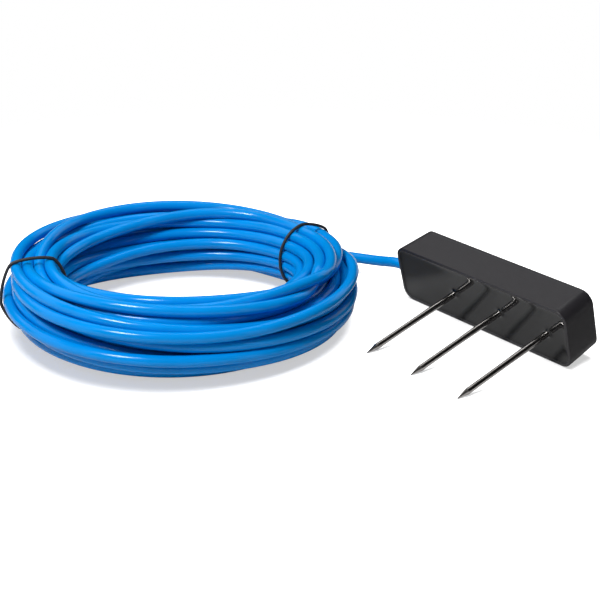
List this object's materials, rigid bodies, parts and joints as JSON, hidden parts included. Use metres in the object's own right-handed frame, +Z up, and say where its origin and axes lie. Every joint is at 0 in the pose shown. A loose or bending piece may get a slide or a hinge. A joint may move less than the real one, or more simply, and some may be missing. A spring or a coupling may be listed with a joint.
{
  "type": "soil moisture sensor",
  "caption": "Potted soil moisture probe: black drafted block with pointed steel rods in its resin face and a long blue cable wound in a tied round coil.",
  "frame": {"origin": "on the table under the middle of the head's own box, without the cable", "axes": "+X along the cup towards the end away from the cable, rods towards -Y and down, +Z up from the table"},
  "size_m": [0.2717, 0.2103, 0.035],
  "materials": {
    "cup_plastic": "fine satin moulded black",
    "potting_resin": "glossy cast black",
    "rod_steel": "polished stainless",
    "solder_metal": "tinned",
    "screw_metal": "plated",
    "board_laminate": "green solder mask",
    "chip_plastic": "moulded black",
    "gland_rubber": "matt black",
    "cable_jacket": "glossy blue extruded jacket",
    "tie_elastic": "smooth black",
    "core_red": "extruded red insulation",
    "core_black": "extruded black insulation",
    "core_yellow": "extruded yellow insulation",
    "core_white": "extruded white insulation"
  },
  "bodies": {
    "root": {"housing_shell": "cup_plastic", "potting_fill": "potting_resin", "probe_rod_left": "rod_steel", "probe_rod_middle": "rod_steel", "probe_rod_right": "rod_steel", "rod_solder_ring_left": "solder_metal", "rod_solder_ring_middle": "solder_metal", "rod_solder_ring_right": "solder_metal", "circuit_board": "board_laminate", "board_screw_1": "screw_metal", "board_screw_2": "screw_metal", "bus_transceiver": "chip_plastic", "tantalum_capacitor": "chip_plastic", "voltage_regulator": "chip_plastic", "microcontroller": "chip_plastic", "oscillator_can": "solder_metal", "ceramic_capacitor_1": "chip_plastic", "ceramic_capacitor_2": "chip_plastic", "rf_inductor": "chip_plastic", "core_header": "chip_plastic", "cable_gland": "gland_rubber", "cable_stop_collar": "screw_metal", "inner_cable": "cable_jacket", "inner_core_red": "core_red", "inner_core_black": "core_black", "inner_core_yellow": "core_yellow", "inner_core_white": "core_white", "cable_lead": "cable_jacket", "cable_coil": "cable_jacket", "cable_tail": "cable_jacket", "coil_tie_left": "tie_elastic", "coil_tie_right": "tie_elastic", "tail_core_red": "core_red", "tail_core_black": "core_black", "tail_core_yellow": "core_yellow", "tail_core_white": "core_white", "tail_ferrule_red": "solder_metal", "tail_ferrule_black": "solder_metal", "tail_ferrule_yellow": "solder_metal", "tail_ferrule_white": "solder_metal"}
  },
  "joints": []
}
